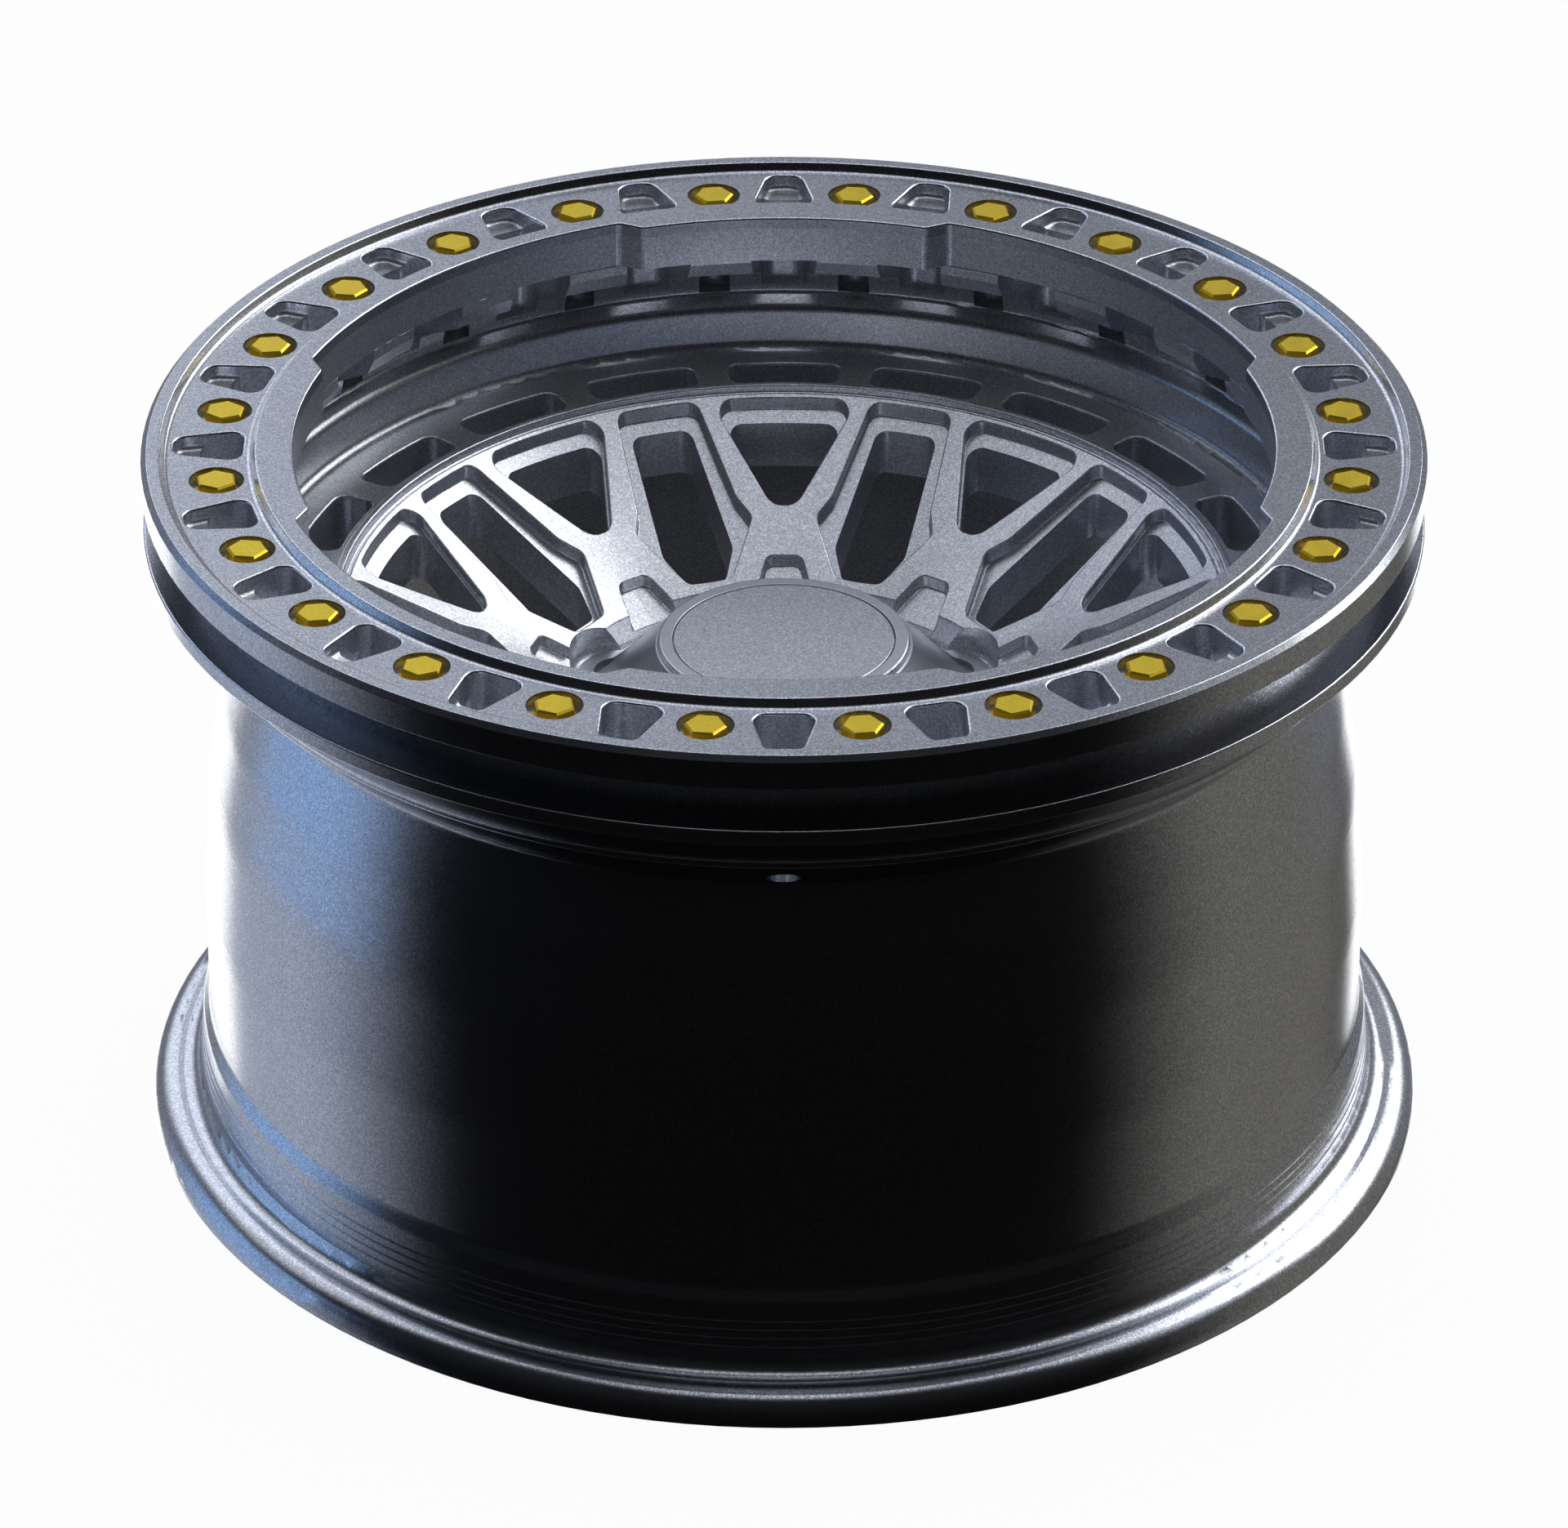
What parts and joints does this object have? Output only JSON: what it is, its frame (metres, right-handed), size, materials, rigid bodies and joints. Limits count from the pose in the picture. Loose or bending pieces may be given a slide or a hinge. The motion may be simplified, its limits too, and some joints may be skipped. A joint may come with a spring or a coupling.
{
  "type": "beadlock wheel",
  "caption": "Deep-dish forged off-road wheel with a mesh-spoke face, a bolt-on beadlock ring, gold hex bolts and a raised centre cap.",
  "frame": {"origin": "on the wheel's axis, at the face of the inboard flange that the wheel lies on", "axes": "+Z along the axle towards the outboard face, -Y towards the valve hole, +X at three o'clock seen from outboard"},
  "size_m": [0.4728, 0.4728, 0.2703],
  "materials": {
    "speckled_silver": "satin metallic with a fine silver speckle",
    "smooth_grey": "satin grey",
    "gold_steel": "gold zinc plate",
    "insert_steel": "plain steel",
    "seal_rubber": "matt black"
  },
  "bodies": {
    "root": {"wheel_body": "speckled_silver", "beadlock_ring": "speckled_silver", "beadlock_bolt_01": "gold_steel", "beadlock_bolt_02": "gold_steel", "beadlock_bolt_03": "gold_steel", "beadlock_bolt_04": "gold_steel", "beadlock_bolt_05": "gold_steel", "beadlock_bolt_06": "gold_steel", "beadlock_bolt_07": "gold_steel", "beadlock_bolt_08": "gold_steel", "beadlock_bolt_09": "gold_steel", "beadlock_bolt_10": "gold_steel", "beadlock_bolt_11": "gold_steel", "beadlock_bolt_12": "gold_steel", "beadlock_bolt_13": "gold_steel", "beadlock_bolt_14": "gold_steel", "beadlock_bolt_15": "gold_steel", "beadlock_bolt_16": "gold_steel", "beadlock_bolt_17": "gold_steel", "beadlock_bolt_18": "gold_steel", "beadlock_bolt_19": "gold_steel", "beadlock_bolt_20": "gold_steel", "beadlock_bolt_21": "gold_steel", "beadlock_bolt_22": "gold_steel", "beadlock_bolt_23": "gold_steel", "beadlock_bolt_24": "gold_steel", "beadlock_washer_01": "gold_steel", "beadlock_washer_02": "gold_steel", "beadlock_washer_03": "gold_steel", "beadlock_washer_04": "gold_steel", "beadlock_washer_05": "gold_steel", "beadlock_washer_06": "gold_steel", "beadlock_washer_07": "gold_steel", "beadlock_washer_08": "gold_steel", "beadlock_washer_09": "gold_steel", "beadlock_washer_10": "gold_steel", "beadlock_washer_11": "gold_steel", "beadlock_washer_12": "gold_steel", "beadlock_washer_13": "gold_steel", "beadlock_washer_14": "gold_steel", "beadlock_washer_15": "gold_steel", "beadlock_washer_16": "gold_steel", "beadlock_washer_17": "gold_steel", "beadlock_washer_18": "gold_steel", "beadlock_washer_19": "gold_steel", "beadlock_washer_20": "gold_steel", "beadlock_washer_21": "gold_steel", "beadlock_washer_22": "gold_steel", "beadlock_washer_23": "gold_steel", "beadlock_washer_24": "gold_steel", "bolt_inserts": "insert_steel", "centre_cap": "smooth_grey", "cap_disc": "speckled_silver", "cap_seal": "seal_rubber"}
  },
  "joints": []
}
